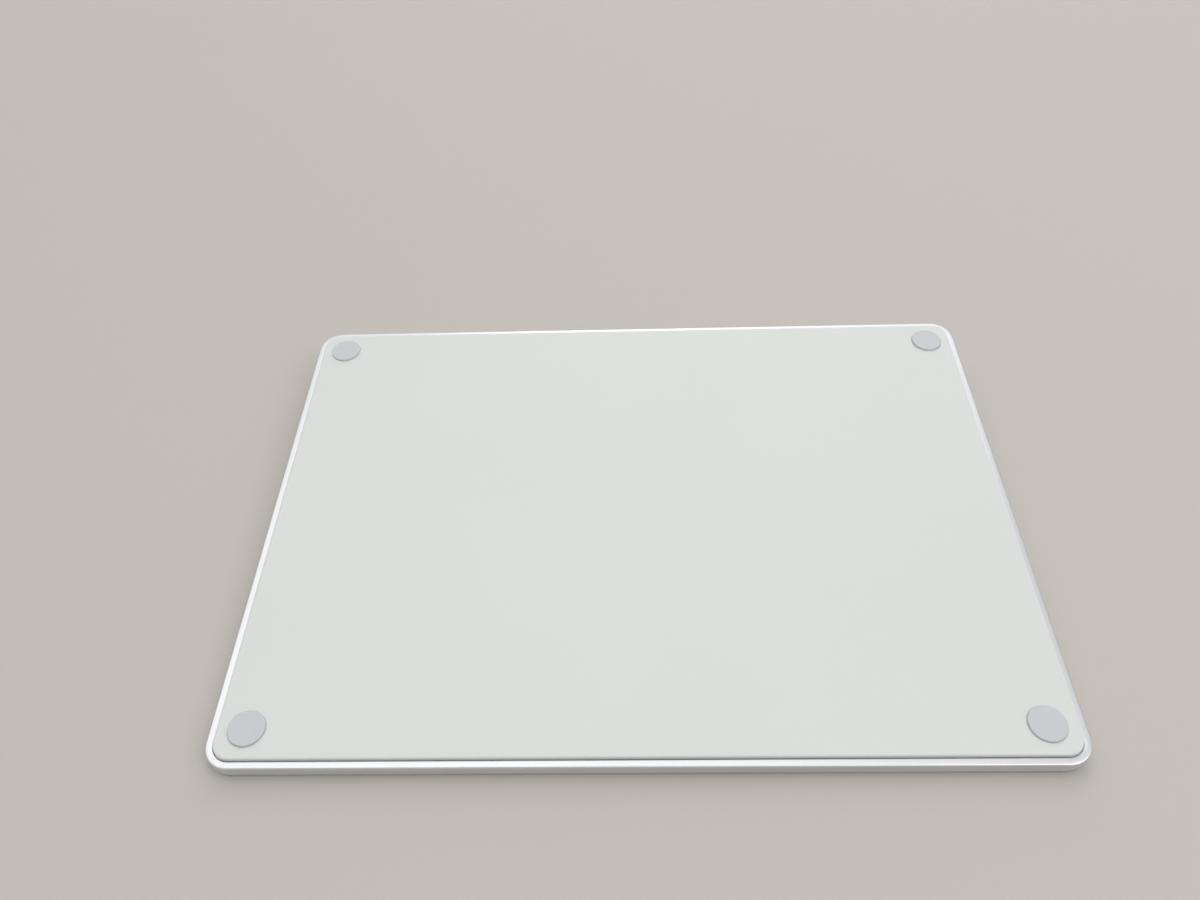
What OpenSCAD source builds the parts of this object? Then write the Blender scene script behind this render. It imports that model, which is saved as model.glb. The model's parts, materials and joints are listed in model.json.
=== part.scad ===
// A slim wireless trackpad, right way up: the feet stand on the desk at z = 0, the touch glass
// slopes up from the thin front edge (-Y) to the thick rear edge (+Y), and +X is the user's right.

/* [Body] */
// Width of the body, side to side
body_w = 160; // [150:0.5:180]
// Depth of the body, front to rear
body_d = 114.9; // [108:0.1:130]
// Height of the front edge over the desk, feet included
front_h = 4.9; // [4.7:0.1:6]
// Height of the rear edge over the desk, feet included
rear_h = 10.9; // [10.5:0.1:13]
// Radius of the body's corners in plan
corner_r = 5; // [4:0.5:9]
// Thickness of the metal side walls
wall_t = 2; // [1.6:0.1:2.4]
// Thickness of the metal deck that carries the inner parts
deck_t = 0.8; // [0.6:0.1:1.1]
// Rounding of the metal rim's lower outer edge
rim_edge_r = 0.3; // [0.1:0.05:0.5]

/* [Underside] */
// Width of the metal rim that shows round the bottom cover
rim_w = 1.45; // [1.2:0.05:1.8]
// Clearance between the rim and the edge of the cover
cover_gap = 0.1; // [0.05:0.05:0.25]
// Thickness of the bottom cover
cover_t = 1; // [0.8:0.1:1.3]
// How far the cover stands out below the rim
cover_proud = 0.7; // [0.3:0.05:0.8]
// Rounding of the cover's outer edge
cover_edge_r = 0.5; // [0.2:0.05:0.6]
// Thickness of the adhesive frame between cover and deck
adhesive_t = 0.15; // [0.1:0.05:0.3]
// Width of the adhesive frame's bands
adhesive_band = 12; // [8:1:16]
// Diameter of each foot
foot_d = 7; // [6:0.1:9]
// How far each foot stands out below the cover
foot_proud = 0.5; // [0.3:0.1:0.9]
// Depth of the recess that holds each foot
foot_sink = 0.3; // [0.2:0.05:0.5]
// Clearance round each foot in its recess
foot_gap = 0.1; // [0.05:0.05:0.2]
// Distance from the body's sides to the middle of each foot
foot_inset = 7.3; // [6.5:0.1:12]
// Rounding of each foot's lower edge
foot_edge_r = 0.2; // [0.05:0.05:0.25]

/* [Touch plate] */
// Thickness of the touch glass
glass_t = 0.8; // [0.6:0.1:1.1]
// How far the glass stays inside the body's outline
glass_inset = 0.1; // [0.1:0.05:0.4]
// Rounding of the glass's edges
glass_edge_r = 0.2; // [0.05:0.05:0.25]
// Gap under the glass that lets it be pressed
press_gap = 0.3; // [0.3:0.05:0.5]
// Gap between the moving plate and the walls round it
side_gap = 0.6; // [0.4:0.1:1]
// Thickness of the sensor board
sensor_t = 0.6; // [0.4:0.1:0.8]
// Thickness of the steel stiffener
stiffener_t = 0.4; // [0.3:0.1:0.6]
// Width of the stiffener's outer band
stiffener_band = 14; // [13:0.5:18]
// Width of the stiffener's spine, front to rear
stiffener_spine = 18; // [16:1:24]
// Width of the stiffener's narrow ribs
stiffener_rib = 6; // [3:0.5:10]
// Side of each square touch chip
touch_chip = 7; // [4:0.5:9]
// Thickness of each touch chip
touch_chip_t = 0.8; // [0.5:0.1:1]

/* [Flexures] */
// Thickness of the spring steel
flexure_t = 0.3; // [0.2:0.05:0.4]
// Length of each flexure's screwed base
flexure_base_l = 12; // [10:0.5:14]
// Width of each flexure's screwed base
flexure_base_w = 6; // [5:0.5:7]
// Length of each flexure's free arm
flexure_arm_l = 16; // [10:0.5:20]
// Width of each flexure's free arm
flexure_arm_w = 3; // [2.4:0.2:4]
// Diameter of the tab that carries the plate
flexure_tab_d = 6; // [5:0.5:7]
// Distance from the walls to each flexure
flexure_inset = 3; // [2:0.5:4]
// Height of the spacer between a flexure and the stiffener
spacer_h = 0.4; // [0.35:0.05:0.6]
// Outer diameter of each spacer
spacer_d = 4; // [3:0.2:5]
// Length of each strain gauge
gauge_l = 5; // [3:0.5:8]
// Width of each strain gauge
gauge_w = 2; // [1:0.2:2.4]
// Thickness of each strain gauge
gauge_t = 0.1; // [0.05:0.05:0.15]

/* [Screws] */
// Diameter of the screws
screw_d = 1.6; // [1.2:0.1:2]
// Diameter of the flat screw heads
screw_head_d = 2.8; // [2.4:0.1:3.2]
// Height of the flat screw heads
screw_head_h = 0.35; // [0.25:0.05:0.4]
// Length of thread in the metal
screw_grip = 0.7; // [0.4:0.1:0.8]
// Clearance round each screw
screw_gap = 0.05; // [0.02:0.01:0.1]

/* [Actuator] */
// Number of wound legs on the core
leg_count = 4; // [2:1:5]
// Width of each leg
leg_w = 3; // [2:0.5:4]
// Length of each leg
leg_l = 10; // [9:0.5:14]
// Distance from leg to leg
leg_pitch = 6.6; // [6.2:0.1:8]
// Depth of the core's back iron
core_back = 3; // [2:0.5:5]
// Thickness of each winding beside its leg
winding_side = 1.2; // [0.6:0.1:1.4]
// Thickness of each winding over and under its leg
winding_t = 0.3; // [0.2:0.05:0.35]
// Length of each winding
coil_l = 7; // [5:0.5:8]
// Air gap between the legs and the armature
air_gap = 0.4; // [0.35:0.05:0.6]
// Thickness of the base plate
base_t = 0.5; // [0.45:0.05:0.7]
// Thickness of the armature's upright
armature_t = 1.6; // [1:0.1:2.5]
// Width of the armature's flange
armature_flange = 5; // [4:0.5:6]
// Distance of the leg tips from the middle, to the right
actuator_tip_x = 2; // [0:0.5:3]

/* [Battery] */
// Width of the battery cell
battery_w = 108; // [80:1:116]
// Depth of the battery cell
battery_d = 25; // [20:0.5:32]
// Rounding of the cell's edges
battery_edge_r = 0.6; // [0.2:0.1:1]
// Thickness of the adhesive strips under the cell
battery_pad_t = 0.25; // [0.2:0.05:0.4]
// Width of the adhesive strips
battery_pad_w = 9; // [5:1:14]
// Room left over the cell for it to swell
battery_swell = 0.4; // [0.3:0.1:0.8]
// Width of the protection board
guard_w = 48; // [30:1:64]
// Depth of the protection board
guard_d = 3.2; // [2.4:0.2:4]

/* [Logic board] */
// Width of the logic board
logic_w = 72; // [68:1:76]
// Depth of the logic board
logic_d = 12.6; // [12:0.2:15]
// Thickness of the logic board
logic_t = 0.8; // [0.6:0.1:1]
// Distance from the rear wall to the logic board
logic_gap = 1.6; // [1.2:0.1:2]
// Height of the standoffs under the logic board
standoff_h = 0.45; // [0.3:0.05:0.8]
// Diameter of the standoffs
standoff_d = 4; // [3.2:0.2:5]
// Height of the cable connectors
connector_h = 0.7; // [0.6:0.1:1]
// Thickness of the flexible cables
flex_t = 0.12; // [0.08:0.02:0.15]
// Width of the flexible cables
flex_w = 5; // [3:0.5:6]

/* [Charging port] */
// Outer width of the receptacle's shell
port_w = 8.94; // [8.9:0.02:9.2]
// Outer height of the receptacle's shell
port_h = 3.26; // [3.2:0.02:3.4]
// Length of the receptacle
port_l = 7.3; // [6.5:0.1:9]
// Wall of the receptacle's shell
port_wall = 0.3; // [0.2:0.05:0.35]
// How far the receptacle's mouth sits behind the rear face
port_recess = 0.4; // [0.1:0.1:1]
// Clearance round the receptacle in the rear wall
port_gap = 0.15; // [0.05:0.05:0.3]
// Width of the contact tongue
tongue_w = 6.69; // [6:0.1:6.8]
// Thickness of the contact tongue
tongue_t = 0.7; // [0.6:0.05:0.8]
// How far the tongue's tip sits behind the receptacle's mouth
tongue_recess = 0.8; // [0.5:0.1:1.5]

/* [Power switch] */
// Length of the sliding knob
knob_l = 7.2; // [6:0.2:9]
// Height of the sliding knob
knob_h = 2.8; // [2.2:0.1:3.2]
// How far the knob slides
switch_travel = 3; // [2:0.1:3.6]
// Clearance round the sliding knob
slide_gap = 0.1; // [0.05:0.05:0.2]
// How far the knob's face sits behind the rear face
knob_recess = 0.25; // [0.1:0.05:0.5]
// Height of the grip ribs on the knob
knob_rib_h = 0.15; // [0.05:0.05:0.2]
// Thickness of the carrier behind the wall
carrier_t = 0.6; // [0.4:0.1:0.8]
// How far the carrier laps the slot's edges
carrier_lap = 0.7; // [0.4:0.1:1]
// Thickness of the coloured mark
mark_t = 0.2; // [0.1:0.05:0.3]
// Distance of the switch from the middle, to the left
switch_x = 25; // [20:0.5:26]
// Depth of the switch's body
switch_d = 3.2; // [2.6:0.1:4]

/* [Antenna] */
// Length of the antenna's carrier
antenna_l = 14; // [10:0.5:18]
// Depth of the antenna's carrier
antenna_d = 5.5; // [4:0.5:6]
// Ledge of metal under the antenna's carrier
antenna_ledge = 1.2; // [0.8:0.1:1.6]
// Thickness of the antenna's foil
foil_t = 0.1; // [0.05:0.05:0.2]

/* [Hidden] */
$fn = 64;

// How far cutting shapes run past what they cut
over = 1;

// The glass plane
slope = atan((rear_h - front_h) / body_d);
mid_h = (front_h + rear_h) / 2;

// Heights above the desk
cover_z = foot_proud;
rim_z = cover_z + cover_proud;
deck_z = cover_z + cover_t + adhesive_t;
deck_top = deck_z + deck_t;

// Depths under the glass face, square to it
sensor_depth = glass_t + sensor_t;
plate_depth = sensor_depth + stiffener_t;
flexure_depth = plate_depth + spacer_h;
seat_depth = flexure_depth + flexure_t;

// A length cut down to whole hundredths of a millimetre, so that swept edges meet exactly
function whole(length) = floor(100 * length) / 100;

// Height above the desk, at y, of the plane that lies at a depth under the glass face
function slope_z(y, depth) = mid_h + y * tan(slope) - depth / cos(slope);

// Outlines in plan
recess_w = body_w - 2 * rim_w;
recess_d = body_d - 2 * rim_w;
recess_r = corner_r - rim_w;
cover_w = recess_w - 2 * cover_gap;
cover_d = recess_d - 2 * cover_gap;
cover_r = recess_r - cover_gap;
tray_w = body_w - 2 * wall_t;
tray_d = body_d - 2 * wall_t;
tray_r = corner_r - wall_t;
glass_w = body_w - 2 * glass_inset;
glass_d = whole((body_d - 2 * glass_inset) / cos(slope));
glass_r = corner_r - glass_inset;
plate_w = tray_w - 2 * side_gap;
plate_d = tray_d - 2 * side_gap;
plate_r = tray_r - side_gap;
rear_in = body_d / 2 - wall_t;

// Feet
foot_t = foot_proud + foot_sink;
foot_x = body_w / 2 - foot_inset;
foot_y = body_d / 2 - foot_inset;

// Flexures, one in each corner
corners = [["front_left", -1, -1], ["front_right", 1, -1], ["rear_left", -1, 1], ["rear_right", 1, 1]];
seat_x = tray_w / 2 - flexure_inset - flexure_base_l / 2;
seat_y = tray_d / 2 - flexure_inset - flexure_base_w / 2;
tab_x = seat_x - (flexure_base_l + flexure_tab_d) / 2 - flexure_arm_l;
arm_x = seat_x - (flexure_base_l + flexure_arm_l) / 2;
seat_screw_x = flexure_base_l / 4;
flexure_base_r = 1;
bend_gap = 0.05;
arm_room = press_gap + gauge_t + bend_gap;
notch_gap = 0.5;
access_gap = 0.6;
access_d = screw_head_d + 2 * access_gap;

// Windows of the stiffener, two each side of the spine, in two rows
window_r = 3;
window_w = (plate_w / 2 - stiffener_band - stiffener_spine / 2 - stiffener_rib) / 2;
window_d = plate_d / 2 - stiffener_band - stiffener_rib / 2;
window_x = (stiffener_spine + window_w) / 2;
window_y = (stiffener_rib + window_d) / 2;

// Logic board, on standoffs in front of the rear wall
logic_z = deck_top + standoff_h;
logic_top = logic_z + logic_t;
logic_rear = rear_in - logic_gap;
logic_front = logic_rear - logic_d;
logic_y = (logic_front + logic_rear) / 2;
logic_r = 1;
standoff_inset = 3;
logic_screw_x = logic_w / 2 - standoff_inset;
logic_screw_y = logic_d / 2 - standoff_inset;
connector_x = 14;
connector_margin = 0.5;
connector_w = flex_w + 2 * connector_margin;
connector_d = 2.6;
connector_inset = 3.4;
connector_y = logic_front + connector_inset;
connector_top = logic_top + connector_h;

// Charging port and power switch share one height on the rear wall
port_z = logic_top + port_h / 2;
port_mouth = body_d / 2 - port_recess;
port_floor = port_mouth - port_l + 2 * port_wall;
slot_l = knob_l + switch_travel + 2 * slide_gap;
slot_h = knob_h + 2 * slide_gap;
knob_face = body_d / 2 - knob_recess;
carrier_front = rear_in - slide_gap;
carrier_back = carrier_front - carrier_t;
carrier_l = knob_l + 2 * (switch_travel + carrier_lap);
carrier_h = slot_h + 2 * carrier_lap;
off_x = -switch_x - switch_travel / 2;
switch_gap = 0.25;
switch_wall = 1.5;
switch_front = carrier_back - switch_gap;
stem_w = 1.6;
stem_h = 1.2;
stem_l = 1.4;
stem_back = switch_front - stem_l;
switch_slot_w = stem_w + switch_travel + 2 * switch_gap;
switch_slot_h = stem_h + 2 * switch_gap;
switch_slot_d = stem_l + switch_gap;

// Battery, in front of the logic board, as thick as the plate above it allows
guard_t = 0.8;
guard_gap = 0.6;
battery_rear = logic_front - guard_gap - guard_d;
battery_front = battery_rear - battery_d;
battery_y = (battery_front + battery_rear) / 2;
battery_z = deck_top + battery_pad_t;
battery_top = slope_z(battery_front, plate_depth) - press_gap - battery_swell;
battery_r = 2;
battery_pad_x = battery_w / 3;
lead_inset = 0.6;

// Actuator, in front of the battery, as thick as the plate above it allows
coil_gap = 0.05;
coil_room = 0.2;
window_gap = 0.3;
ear_margin = 0.8;
actuator_gap = 2;
core_d = (leg_count - 1) * leg_pitch + leg_w;
coils_d = core_d + 2 * (coil_gap + winding_side);
ear_d = screw_head_d + 2 * ear_margin;
base_w = leg_l + core_back;
base_d = coils_d + 2 * (window_gap + ear_d);
base_x = actuator_tip_x - base_w / 2;
actuator_y = battery_front - actuator_gap - base_d / 2;
coil_x = actuator_tip_x - leg_l / 2;
core_z = deck_top + base_t;
coil_top = slope_z(actuator_y - coils_d / 2, plate_depth) - press_gap - coil_room;
core_t = coil_top - core_z - coil_gap - winding_t;
flange_t = 0.5;
armature_x = actuator_tip_x + air_gap;
armature_lap = 0.5;
armature_d = core_d + 2 * armature_lap;

// Antenna, beside the logic board
antenna_gap = 0.4;
antenna_x = logic_w / 2 + antenna_gap + antenna_l / 2;
antenna_y = logic_front + antenna_d / 2;
foil_lap = 1;
foil_margin = 1.2;

// Sensor cable, which loops from the logic board up to the sensor board
sensor_y = plate_d / 2 - stiffener_band / 2;
sensor_plug_d = 3;
cable_gap = 0.1;
cable_inset = 3;
cable_bend_inset = 2.2;
cable_bend_y = logic_front + cable_bend_inset;
cable_top = slope_z(sensor_y - sensor_plug_d / 2, sensor_depth + connector_h) - press_gap - cable_gap;
cable_r = (cable_top - connector_top) / 2;

// Rounded rectangle in plan
module rounded_outline(w, d, r) {
    square([w - 2 * r, d], center = true);
    square([w, d - 2 * r], center = true);
    for (sx = [-1, 1], sy = [-1, 1])
        translate([sx * (w / 2 - r), sy * (d / 2 - r)])
            circle(r);
}

// Long hole outline with round ends
module stadium(l, h) {
    square([l - h, h], center = true);
    for (s = [-1, 1])
        translate([s * (l - h) / 2, 0])
            circle(d = h);
}

module slab(w, d, h, r) {
    linear_extrude(h)
        rounded_outline(w, d, r);
}

// What a rounding takes off an edge: x runs inward from the side, y upward from the face
module rounding_profile(e) {
    difference() {
        translate([-over, -over])
            square(over + e);
        translate([e, e])
            circle(e);
    }
}

// Carries a profile round the outline of a rounded rectangle
module edge_sweep(w, d, r) {
    for (side = [0, 1])
        rotate(180 * side) {
            translate([r - w / 2, -d / 2, 0])
                rotate([90, 0, 90])
                    linear_extrude(w - 2 * r)
                        children();
            rotate(90)
                translate([r - d / 2, -w / 2, 0])
                    rotate([90, 0, 90])
                        linear_extrude(d - 2 * r)
                            children();
        }
    for (quarter = [0:3])
        translate([(quarter % 3 == 0 ? 1 : -1) * (w / 2 - r), (quarter < 2 ? 1 : -1) * (d / 2 - r), 0])
            rotate(90 * quarter)
                rotate_extrude(angle = 90)
                    translate([r, 0])
                        mirror([1, 0])
                            children();
}

// Slab with its lower outer edge rounded
module soft_slab(w, d, h, r, e) {
    difference() {
        slab(w, d, h, r);
        edge_sweep(w, d, r)
            rounding_profile(e);
    }
}

// Slab with both outer edges rounded
module pillow_slab(w, d, h, r, e) {
    difference() {
        soft_slab(w, d, h, r, e);
        translate([0, 0, h])
            mirror([0, 0, 1])
                edge_sweep(w, d, r)
                    rounding_profile(e);
    }
}

// Places children in the glass plane's own frame, at a depth under the glass face
module on_slope(depth) {
    translate([0, 0, mid_h])
        rotate([slope, 0, 0])
            translate([0, 0, -depth])
                children();
}

// Everything above the plane at a depth under the glass face
module above_slope(depth) {
    on_slope(depth)
        translate([-body_w, -body_d, 0])
            cube([2 * body_w, 2 * body_d, 2 * rear_h]);
}

// Box given by its lowest corner's height and its middle in plan
module block(x, y, z, w, d, h) {
    translate([x - w / 2, y - d / 2, z])
        cube([w, d, h]);
}

// Outline carried through the rear wall, from one y to another, at the port's height
module rearward(x, from_y, to_y) {
    translate([x, to_y, port_z])
        rotate([90, 0, 0])
            linear_extrude(to_y - from_y)
                children();
}

// Screw that stands on its head's underside, with its shank down
module flat_screw(shank_l) {
    translate([0, 0, -shank_l])
        cylinder(d = screw_d, h = shank_l);
    cylinder(d = screw_head_d, h = screw_head_h);
}

module at_flexure_screws() {
    for (c = corners, s = [-1, 1])
        translate([c[1] * (seat_x + s * seat_screw_x), c[2] * seat_y, 0])
            children();
}

module at_flexure_tabs() {
    for (c = corners)
        translate([c[1] * tab_x, c[2] * seat_y, 0])
            children();
}

module at_logic_screws() {
    for (sx = [-1, 1], sy = [-1, 1])
        translate([sx * logic_screw_x, logic_y + sy * logic_screw_y, 0])
            children();
}

module at_actuator_screws() {
    for (sx = [-1, 1], sy = [-1, 1])
        translate([base_x + sx * (base_w - ear_d) / 2, actuator_y + sy * (base_d - ear_d) / 2, 0])
            children();
}

module at_feet() {
    for (c = corners)
        translate([c[1] * foot_x, c[2] * foot_y, 0])
            children();
}

// Hole that a screw's thread turns into, down from its seat
module screw_hole() {
    translate([0, 0, -screw_grip - screw_gap])
        cylinder(d = screw_d + 2 * screw_gap, h = screw_grip + screw_gap + over / 2);
}

// Corner blocks that stand on the deck under the flexure bases
module flexure_posts() {
    post_l = flexure_base_l + flexure_inset + wall_t;
    post_w = flexure_base_w + flexure_inset + wall_t;
    for (c = corners)
        block(c[1] * (body_w - post_l) / 2, c[2] * (body_d - post_w) / 2, 0, post_l, post_w, 2 * rear_h);
}

// What is milled out of the frame from above
module tray_pocket() {
    difference() {
        translate([0, 0, deck_top])
            slab(tray_w, tray_d, 2 * rear_h, tray_r);
        flexure_posts();
        at_logic_screws()
            translate([0, 0, deck_top - over])
                cylinder(d = standoff_d, h = standoff_h + over);
    }
}

// Room for the moving plate, down to the flexure seats
module plate_room() {
    intersection() {
        translate([0, 0, deck_z])
            slab(tray_w, tray_d, 2 * rear_h, tray_r);
        above_slope(seat_depth);
    }
}

// Room for each flexure's arm to bend down
module arm_reliefs() {
    on_slope(seat_depth + arm_room)
        for (c = corners)
            translate([c[1] * arm_x, c[2] * seat_y, 0])
                linear_extrude(arm_room + flexure_t) {
                    square([flexure_arm_l, flexure_tab_d + 2 * notch_gap], center = true);
                    translate([c[1] * (tab_x - arm_x), 0])
                        circle(d = flexure_tab_d + 2 * notch_gap);
                }
}

module housing_frame() {
    color("silver")
        difference() {
            translate([0, 0, rim_z])
                soft_slab(body_w, body_d, rear_h, corner_r, rim_edge_r);
            translate([0, 0, rim_z - over])
                slab(recess_w, recess_d, deck_z - rim_z + over, recess_r);
            tray_pocket();
            plate_room();
            above_slope(glass_t + press_gap);
            arm_reliefs();
            on_slope(seat_depth)
                at_flexure_screws()
                    screw_hole();
            on_slope(seat_depth + 2 * rear_h)
                at_flexure_tabs()
                    cylinder(d = access_d, h = 2 * rear_h);
            translate([0, 0, logic_z])
                at_logic_screws()
                    screw_hole();
            translate([0, 0, deck_top])
                at_actuator_screws()
                    screw_hole();
            block(antenna_x, antenna_y, deck_z - over / 2, antenna_l - 2 * antenna_ledge,
                  antenna_d - 2 * antenna_ledge, deck_t + over);
            rearward(0, rear_in - over, body_d / 2 + over)
                stadium(port_w + 2 * port_gap, port_h + 2 * port_gap);
            rearward(-switch_x, rear_in - over, body_d / 2 + over)
                stadium(slot_l, slot_h);
        }
}

module bottom_cover() {
    color("whitesmoke")
        translate([0, 0, cover_z])
            difference() {
                soft_slab(cover_w, cover_d, cover_t, cover_r, cover_edge_r);
                at_feet()
                    translate([0, 0, -over])
                        cylinder(d = foot_d + 2 * foot_gap, h = foot_sink + over);
            }
}

module cover_adhesive() {
    sheet_w = cover_w - 2 * cover_edge_r;
    sheet_d = cover_d - 2 * cover_edge_r;
    window_w = (sheet_w - 3 * adhesive_band) / 2;
    color("dimgray")
        translate([0, 0, cover_z + cover_t])
            linear_extrude(adhesive_t)
                difference() {
                    rounded_outline(sheet_w, sheet_d, cover_r);
                    for (s = [-1, 1])
                        translate([s * (adhesive_band + window_w) / 2, 0])
                            rounded_outline(window_w, sheet_d - 2 * adhesive_band, cover_r);
                }
}

module foot(sx, sy) {
    color("lightgray")
        translate([sx * foot_x, sy * foot_y, 0])
            rotate_extrude() {
                square([foot_d / 2 - foot_edge_r, foot_t]);
                translate([0, foot_edge_r])
                    square([foot_d / 2, foot_t - foot_edge_r]);
                translate([foot_d / 2 - foot_edge_r, foot_edge_r])
                    intersection() {
                        circle(foot_edge_r);
                        translate([0, -foot_edge_r])
                            square(foot_edge_r);
                    }
            }
}

module battery_cell() {
    color("slategray")
        translate([0, battery_y, battery_z])
            pillow_slab(battery_w, battery_d, battery_top - battery_z, battery_r, battery_edge_r);
}

module battery_pads() {
    pad_d = battery_d - 2 * battery_r;
    color("khaki")
        for (s = [-1, 1])
            block(s * battery_pad_x, battery_y, deck_top, battery_pad_w, pad_d, battery_pad_t);
}

module battery_guard_board() {
    color("darkgreen")
        block(0, battery_rear + guard_d / 2, connector_top - guard_t, guard_w, guard_d, guard_t);
}

module battery_lead() {
    lead_from = battery_rear + lead_inset;
    lead_to = connector_y + connector_d / 2;
    color("darkorange")
        block(-connector_x, (lead_from + lead_to) / 2, connector_top, flex_w, lead_to - lead_from, flex_t);
}

module logic_board() {
    color("green")
        translate([0, 0, logic_z])
            linear_extrude(logic_t)
                difference() {
                    translate([0, logic_y])
                        rounded_outline(logic_w, logic_d, logic_r);
                    at_logic_screws()
                        circle(d = screw_d + 2 * screw_gap);
                }
}

module logic_chips() {
    processor = 6;
    regulator = 3.4;
    chip_t = 0.9;
    regulator_pitch = 8;
    regulator_x = connector_x + regulator_pitch;
    color("black") {
        block(0, connector_y, logic_top, processor, processor, chip_t);
        for (s = [-1, 1])
            block(s * regulator_x, connector_y, logic_top, regulator, regulator, chip_t);
    }
}

module radio_shield() {
    shield_w = 13;
    shield_d = 6;
    shield_h = 1.3;
    shield_side = 6.5;
    shield_inset = 0.6;
    shield_x = logic_w / 2 - shield_side - shield_w / 2;
    color("lightsteelblue")
        block(shield_x, logic_rear - shield_inset - shield_d / 2, logic_top, shield_w, shield_d, shield_h);
}

module cable_connectors() {
    color("dimgray")
        for (s = [-1, 1])
            block(s * connector_x, connector_y, logic_top, connector_w, connector_d, connector_h);
}

module logic_screws() {
    color("gray")
        translate([0, 0, logic_top])
            at_logic_screws()
                flat_screw(logic_t + screw_grip);
}

module port_shell() {
    color("gainsboro")
        difference() {
            rearward(0, port_mouth - port_l, port_mouth)
                stadium(port_w, port_h);
            rearward(0, port_floor, port_mouth + over)
                stadium(port_w - 2 * port_wall, port_h - 2 * port_wall);
        }
}

module port_tongue() {
    tip_bevel = 0.6;
    tongue_l = port_mouth - tongue_recess - port_floor;
    color("black")
        translate([0, port_floor, port_z - tongue_t / 2])
            linear_extrude(tongue_t)
                difference() {
                    translate([0, tongue_l / 2])
                        square([tongue_w, tongue_l], center = true);
                    for (s = [-1, 1])
                        translate([s * tongue_w / 2, tongue_l])
                            rotate(45)
                                square(tip_bevel * sqrt(2), center = true);
                }
}

module switch_body() {
    body_l = switch_slot_w + 2 * switch_wall;
    color("black")
        difference() {
            block(-switch_x, switch_front - switch_d / 2, logic_top, body_l, switch_d, port_h);
            block(-switch_x, switch_front + (over - switch_slot_d) / 2, port_z - switch_slot_h / 2,
                  switch_slot_w, switch_slot_d + over, switch_slot_h);
        }
}

module antenna_carrier() {
    color("ivory")
        block(antenna_x, antenna_y, deck_top, antenna_l, antenna_d, logic_top - deck_top);
}

module antenna_foil() {
    foil_from = logic_w / 2 - foil_lap;
    foil_to = antenna_x + antenna_l / 2 - foil_margin;
    color("goldenrod")
        block((foil_from + foil_to) / 2, antenna_y, logic_top, foil_to - foil_from,
              antenna_d - 2 * foil_margin, foil_t);
}

module actuator_base() {
    color("lightslategray")
        translate([0, 0, deck_top])
            linear_extrude(base_t)
                difference() {
                    translate([base_x, actuator_y])
                        square([base_w, base_d], center = true);
                    translate([coil_x, actuator_y])
                        square([coil_l + 2 * window_gap, coils_d + 2 * window_gap], center = true);
                    at_actuator_screws()
                        circle(d = screw_d + 2 * screw_gap);
                }
}

// Comb of laminated iron: a back with a row of legs that point right, at the armature
module actuator_core() {
    color("darkslategray")
        translate([actuator_tip_x, actuator_y, core_z])
            linear_extrude(core_t) {
                translate([-leg_l - core_back, -core_d / 2])
                    square([core_back, core_d]);
                for (i = [0:leg_count - 1])
                    translate([-leg_l - core_back / 2, i * leg_pitch - core_d / 2])
                        square([leg_l + core_back / 2, leg_w]);
            }
}

module actuator_coils() {
    hole_w = leg_w + 2 * coil_gap;
    hole_h = core_t + 2 * coil_gap;
    first_y = actuator_y - (core_d - leg_w) / 2;
    color("peru")
        for (i = [0:leg_count - 1])
            translate([coil_x - coil_l / 2, first_y + i * leg_pitch, core_z + core_t / 2])
                rotate([90, 0, 90])
                    linear_extrude(coil_l)
                        difference() {
                            square([hole_w + 2 * winding_side, hole_h + 2 * winding_t], center = true);
                            square([hole_w, hole_h], center = true);
                        }
}

module actuator_screws() {
    color("gray")
        translate([0, 0, deck_top + base_t])
            at_actuator_screws()
                flat_screw(base_t + screw_grip);
}

module actuator_cable() {
    cable_from = actuator_y + base_d / 2;
    cable_to = logic_front + cable_inset;
    color("darkorange")
        block(0, (cable_from + cable_to) / 2, deck_top, flex_w, cable_to - cable_from, flex_t);
}

module sensor_cable() {
    color("darkorange")
        translate([connector_x - flex_w / 2, cable_bend_y, connector_top])
            rotate([90, 0, 90])
                linear_extrude(flex_w) {
                    square([connector_y - cable_bend_y + connector_d / 2, flex_t]);
                    translate([0, 2 * cable_r - flex_t])
                        square([sensor_y - cable_bend_y + sensor_plug_d / 2, flex_t]);
                    translate([0, cable_r])
                        difference() {
                            circle(cable_r);
                            circle(cable_r - flex_t);
                            translate([0, -2 * cable_r])
                                square(4 * cable_r);
                        }
                }
}

module flexure_screws() {
    color("gray")
        on_slope(flexure_depth)
            at_flexure_screws()
                flat_screw(flexure_t + screw_grip);
}

// Spring steel strip: a screwed base in the corner, a bending arm and a tab under the plate
module flexure(sx, sy) {
    color("lightsteelblue")
        on_slope(seat_depth)
            linear_extrude(flexure_t)
                difference() {
                    translate([0, sy * seat_y]) {
                        translate([sx * seat_x, 0])
                            rounded_outline(flexure_base_l, flexure_base_w, flexure_base_r);
                        translate([sx * (seat_x + tab_x) / 2, 0])
                            square([seat_x - tab_x, flexure_arm_w], center = true);
                        translate([sx * tab_x, 0])
                            circle(d = flexure_tab_d);
                    }
                    at_flexure_screws()
                        circle(d = screw_d + 2 * screw_gap);
                    at_flexure_tabs()
                        circle(d = screw_d + 2 * screw_gap);
                }
}

module strain_gauges() {
    color("sandybrown")
        on_slope(seat_depth + gauge_t)
            for (c = corners)
                block(c[1] * arm_x, c[2] * seat_y, 0, gauge_l, gauge_w, gauge_t);
}

module touch_glass() {
    color("white")
        on_slope(glass_t)
            pillow_slab(glass_w, glass_d, glass_t, glass_r, glass_edge_r);
}

module sensor_board() {
    color("seagreen")
        on_slope(sensor_depth)
            slab(plate_w, plate_d, sensor_t, plate_r);
}

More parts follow.
